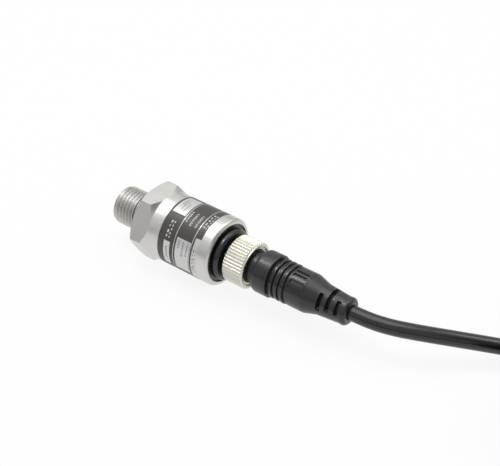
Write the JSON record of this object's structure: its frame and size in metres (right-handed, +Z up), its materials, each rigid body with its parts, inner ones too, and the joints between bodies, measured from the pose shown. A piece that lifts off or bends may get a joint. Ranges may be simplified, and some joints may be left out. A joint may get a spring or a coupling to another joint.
{
  "type": "pressure transmitter",
  "caption": "Compact pressure transmitter with a threaded pressure port, a hexagon, a cylindrical steel body and a knurled plug-in connector on a black lead.",
  "frame": {"origin": "on the axis, at the middle of the process thread's full-form length", "axes": "+X along the axis from the process thread to the lead, +Z up from the surface that the transmitter lies on"},
  "size_m": [0.2271, 0.05, 0.024],
  "materials": {
    "stainless_steel": "satin turned stainless steel",
    "seal_rubber": "matte",
    "label_foil": "satin printed foil",
    "alumina": "matte ground",
    "turned_brass": "turned",
    "board_green": "solder mask",
    "chip_black": "matte",
    "capacitor_tan": "satin",
    "base_black": "satin black moulding",
    "nickel_plate": "nickel plated, knurled",
    "carrier_black": "matte",
    "plug_seal": "matte",
    "plug_black": "satin soft moulding",
    "cable_black": "satin jacket",
    "tie_black": "satin nylon",
    "gold_plate": "gold plated",
    "core_brown": "satin insulation",
    "core_white": "satin insulation",
    "core_blue": "satin insulation",
    "core_black": "satin insulation",
    "tinned_copper": "tinned"
  },
  "bodies": {
    "transmitter": {"housing": "stainless_steel", "thread_seal_ring": "seal_rubber", "label": "label_foil", "cell_seal_ring": "seal_rubber", "cell_diaphragm": "alumina", "measuring_cell": "alumina", "cell_lead_1": "gold_plate", "cell_lead_2": "gold_plate", "cell_lead_3": "gold_plate", "cell_retainer": "turned_brass", "circuit_board": "board_green", "signal_chip": "chip_black", "capacitor_1": "capacitor_tan", "capacitor_2": "capacitor_tan", "contact_pin_1": "gold_plate", "contact_pin_2": "gold_plate", "contact_pin_3": "gold_plate", "contact_pin_4": "gold_plate", "connector_base": "base_black", "base_seal_ring": "seal_rubber"},
    "plug": {"contact_carrier": "carrier_black", "socket_contact_1": "gold_plate", "socket_contact_2": "gold_plate", "socket_contact_3": "gold_plate", "socket_contact_4": "gold_plate", "plug_seal_ring": "plug_seal", "plug_moulding": "plug_black", "cable": "cable_black", "cable_hank": "cable_black", "cable_tie_1": "tie_black", "cable_tie_2": "tie_black", "cable_tail": "cable_black", "core_brown": "core_brown", "core_white": "core_white", "core_blue": "core_blue", "core_black": "core_black", "core_tip_brown": "tinned_copper", "core_tip_white": "tinned_copper", "core_tip_blue": "tinned_copper", "core_tip_black": "tinned_copper"},
    "nut": {"coupling_nut": "nickel_plate"}
  },
  "joints": [
    {"name": "plug_travel", "type": "slide", "parent": "transmitter", "child": "plug", "axis": [1, 0, 0], "range_m": [0, 0.004]},
    {"name": "nut_turn", "type": "hinge", "parent": "plug", "child": "nut", "pos_m": [0.0462, 0, 0], "axis": [1, 0, 0], "range_deg": [0, 1440]}
  ],
  "couplings": [
    {"joint": "nut_turn", "follows": "plug_travel", "rad_per_m": 6283.2}
  ]
}
